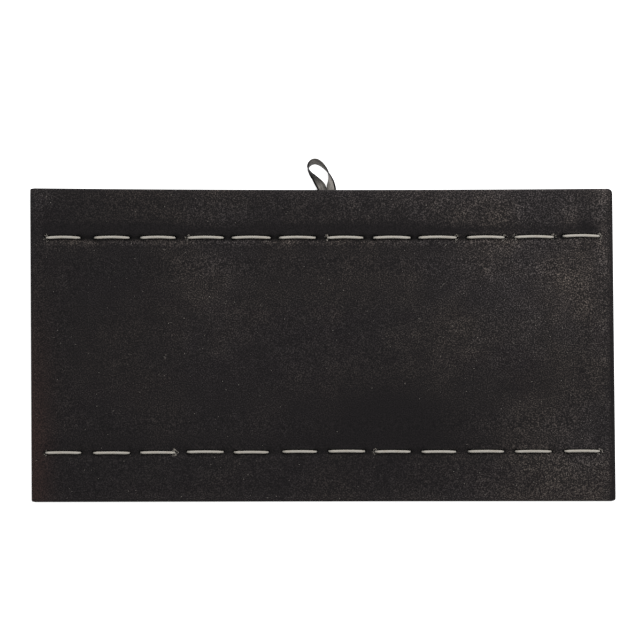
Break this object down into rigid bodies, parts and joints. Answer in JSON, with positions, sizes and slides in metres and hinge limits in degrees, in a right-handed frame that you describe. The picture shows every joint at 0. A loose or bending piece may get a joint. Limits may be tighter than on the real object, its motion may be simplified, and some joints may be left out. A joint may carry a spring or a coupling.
{
  "type": "velvet display pad",
  "caption": "Flat velvet-covered jewellery display pad with two rows of elastic cord strands and a ribbon pull loop.",
  "frame": {"origin": "centre of the backing card's underside, on the surface the pad lies on", "axes": "+Z out of the velvet face, +Y towards the ribbon loop, +X along the rows to the right when the loop is at the top"},
  "size_m": [0.356, 0.2095, 0.0129],
  "materials": {
    "velvet": "black short-pile velvet, matt with a soft sheen where the pile is brushed",
    "elastic": "light warm-grey covered elastic cord, matt",
    "ribbon": "black woven ribbon with a silky sheen",
    "greyboard": "uncoated greyboard",
    "foam": "fine-cell foam sheet",
    "card": "black card, matt"
  },
  "bodies": {
    "pad": {"backing_card": "card", "base_board": "greyboard", "bottom_knot_left": "elastic", "bottom_knot_right": "elastic", "bottom_link_01": "elastic", "bottom_link_02": "elastic", "bottom_link_03": "elastic", "bottom_link_04": "elastic", "bottom_link_05": "elastic", "bottom_link_06": "elastic", "bottom_link_07": "elastic", "bottom_link_08": "elastic", "bottom_link_09": "elastic", "bottom_link_10": "elastic", "bottom_link_11": "elastic", "foam_sheet": "foam", "ribbon_tail_left": "ribbon", "ribbon_tail_right": "ribbon", "top_knot_left": "elastic", "top_knot_right": "elastic", "top_link_01": "elastic", "top_link_02": "elastic", "top_link_03": "elastic", "top_link_04": "elastic", "top_link_05": "elastic", "top_link_06": "elastic", "top_link_07": "elastic", "top_link_08": "elastic", "top_link_09": "elastic", "top_link_10": "elastic", "top_link_11": "elastic", "velvet_cover": "velvet"},
    "bottom_strand_01": {"bottom_strand_01": "elastic"},
    "bottom_strand_02": {"bottom_strand_02": "elastic"},
    "bottom_strand_03": {"bottom_strand_03": "elastic"},
    "bottom_strand_04": {"bottom_strand_04": "elastic"},
    "bottom_strand_05": {"bottom_strand_05": "elastic"},
    "bottom_strand_06": {"bottom_strand_06": "elastic"},
    "bottom_strand_07": {"bottom_strand_07": "elastic"},
    "bottom_strand_08": {"bottom_strand_08": "elastic"},
    "bottom_strand_09": {"bottom_strand_09": "elastic"},
    "bottom_strand_10": {"bottom_strand_10": "elastic"},
    "bottom_strand_11": {"bottom_strand_11": "elastic"},
    "bottom_strand_12": {"bottom_strand_12": "elastic"},
    "top_strand_01": {"top_strand_01": "elastic"},
    "top_strand_02": {"top_strand_02": "elastic"},
    "top_strand_03": {"top_strand_03": "elastic"},
    "top_strand_04": {"top_strand_04": "elastic"},
    "top_strand_05": {"top_strand_05": "elastic"},
    "top_strand_06": {"top_strand_06": "elastic"},
    "top_strand_07": {"top_strand_07": "elastic"},
    "top_strand_08": {"top_strand_08": "elastic"},
    "top_strand_09": {"top_strand_09": "elastic"},
    "top_strand_10": {"top_strand_10": "elastic"},
    "top_strand_11": {"top_strand_11": "elastic"},
    "top_strand_12": {"top_strand_12": "elastic"},
    "ribbon_loop": {"ribbon_loop": "ribbon"}
  },
  "joints": [
    {"name": "bottom_strand_01_lift", "type": "slide", "parent": "pad", "child": "bottom_strand_01", "axis": [0, 0, 1], "range_m": [0, 0.005], "stiffness_N_per_m": 300},
    {"name": "bottom_strand_02_lift", "type": "slide", "parent": "pad", "child": "bottom_strand_02", "axis": [0, 0, 1], "range_m": [0, 0.005], "stiffness_N_per_m": 300},
    {"name": "bottom_strand_03_lift", "type": "slide", "parent": "pad", "child": "bottom_strand_03", "axis": [0, 0, 1], "range_m": [0, 0.005], "stiffness_N_per_m": 300},
    {"name": "bottom_strand_04_lift", "type": "slide", "parent": "pad", "child": "bottom_strand_04", "axis": [0, 0, 1], "range_m": [0, 0.005], "stiffness_N_per_m": 300},
    {"name": "bottom_strand_05_lift", "type": "slide", "parent": "pad", "child": "bottom_strand_05", "axis": [0, 0, 1], "range_m": [0, 0.005], "stiffness_N_per_m": 300},
    {"name": "bottom_strand_06_lift", "type": "slide", "parent": "pad", "child": "bottom_strand_06", "axis": [0, 0, 1], "range_m": [0, 0.005], "stiffness_N_per_m": 300},
    {"name": "bottom_strand_07_lift", "type": "slide", "parent": "pad", "child": "bottom_strand_07", "axis": [0, 0, 1], "range_m": [0, 0.005], "stiffness_N_per_m": 300},
    {"name": "bottom_strand_08_lift", "type": "slide", "parent": "pad", "child": "bottom_strand_08", "axis": [0, 0, 1], "range_m": [0, 0.005], "stiffness_N_per_m": 300},
    {"name": "bottom_strand_09_lift", "type": "slide", "parent": "pad", "child": "bottom_strand_09", "axis": [0, 0, 1], "range_m": [0, 0.005], "stiffness_N_per_m": 300},
    {"name": "bottom_strand_10_lift", "type": "slide", "parent": "pad", "child": "bottom_strand_10", "axis": [0, 0, 1], "range_m": [0, 0.005], "stiffness_N_per_m": 300},
    {"name": "bottom_strand_11_lift", "type": "slide", "parent": "pad", "child": "bottom_strand_11", "axis": [0, 0, 1], "range_m": [0, 0.005], "stiffness_N_per_m": 300},
    {"name": "bottom_strand_12_lift", "type": "slide", "parent": "pad", "child": "bottom_strand_12", "axis": [0, 0, 1], "range_m": [0, 0.005], "stiffness_N_per_m": 300},
    {"name": "top_strand_01_lift", "type": "slide", "parent": "pad", "child": "top_strand_01", "axis": [0, 0, 1], "range_m": [0, 0.005], "stiffness_N_per_m": 300},
    {"name": "top_strand_02_lift", "type": "slide", "parent": "pad", "child": "top_strand_02", "axis": [0, 0, 1], "range_m": [0, 0.005], "stiffness_N_per_m": 300},
    {"name": "top_strand_03_lift", "type": "slide", "parent": "pad", "child": "top_strand_03", "axis": [0, 0, 1], "range_m": [0, 0.005], "stiffness_N_per_m": 300},
    {"name": "top_strand_04_lift", "type": "slide", "parent": "pad", "child": "top_strand_04", "axis": [0, 0, 1], "range_m": [0, 0.005], "stiffness_N_per_m": 300},
    {"name": "top_strand_05_lift", "type": "slide", "parent": "pad", "child": "top_strand_05", "axis": [0, 0, 1], "range_m": [0, 0.005], "stiffness_N_per_m": 300},
    {"name": "top_strand_06_lift", "type": "slide", "parent": "pad", "child": "top_strand_06", "axis": [0, 0, 1], "range_m": [0, 0.005], "stiffness_N_per_m": 300},
    {"name": "top_strand_07_lift", "type": "slide", "parent": "pad", "child": "top_strand_07", "axis": [0, 0, 1], "range_m": [0, 0.005], "stiffness_N_per_m": 300},
    {"name": "top_strand_08_lift", "type": "slide", "parent": "pad", "child": "top_strand_08", "axis": [0, 0, 1], "range_m": [0, 0.005], "stiffness_N_per_m": 300},
    {"name": "top_strand_09_lift", "type": "slide", "parent": "pad", "child": "top_strand_09", "axis": [0, 0, 1], "range_m": [0, 0.005], "stiffness_N_per_m": 300},
    {"name": "top_strand_10_lift", "type": "slide", "parent": "pad", "child": "top_strand_10", "axis": [0, 0, 1], "range_m": [0, 0.005], "stiffness_N_per_m": 300},
    {"name": "top_strand_11_lift", "type": "slide", "parent": "pad", "child": "top_strand_11", "axis": [0, 0, 1], "range_m": [0, 0.005], "stiffness_N_per_m": 300},
    {"name": "top_strand_12_lift", "type": "slide", "parent": "pad", "child": "top_strand_12", "axis": [0, 0, 1], "range_m": [0, 0.005], "stiffness_N_per_m": 300},
    {"name": "ribbon_loop_swing", "type": "hinge", "parent": "pad", "child": "ribbon_loop", "pos_m": [0, 0.0972, 0.00135], "axis": [1, 0, 0], "range_deg": [-90, 65]}
  ]
}
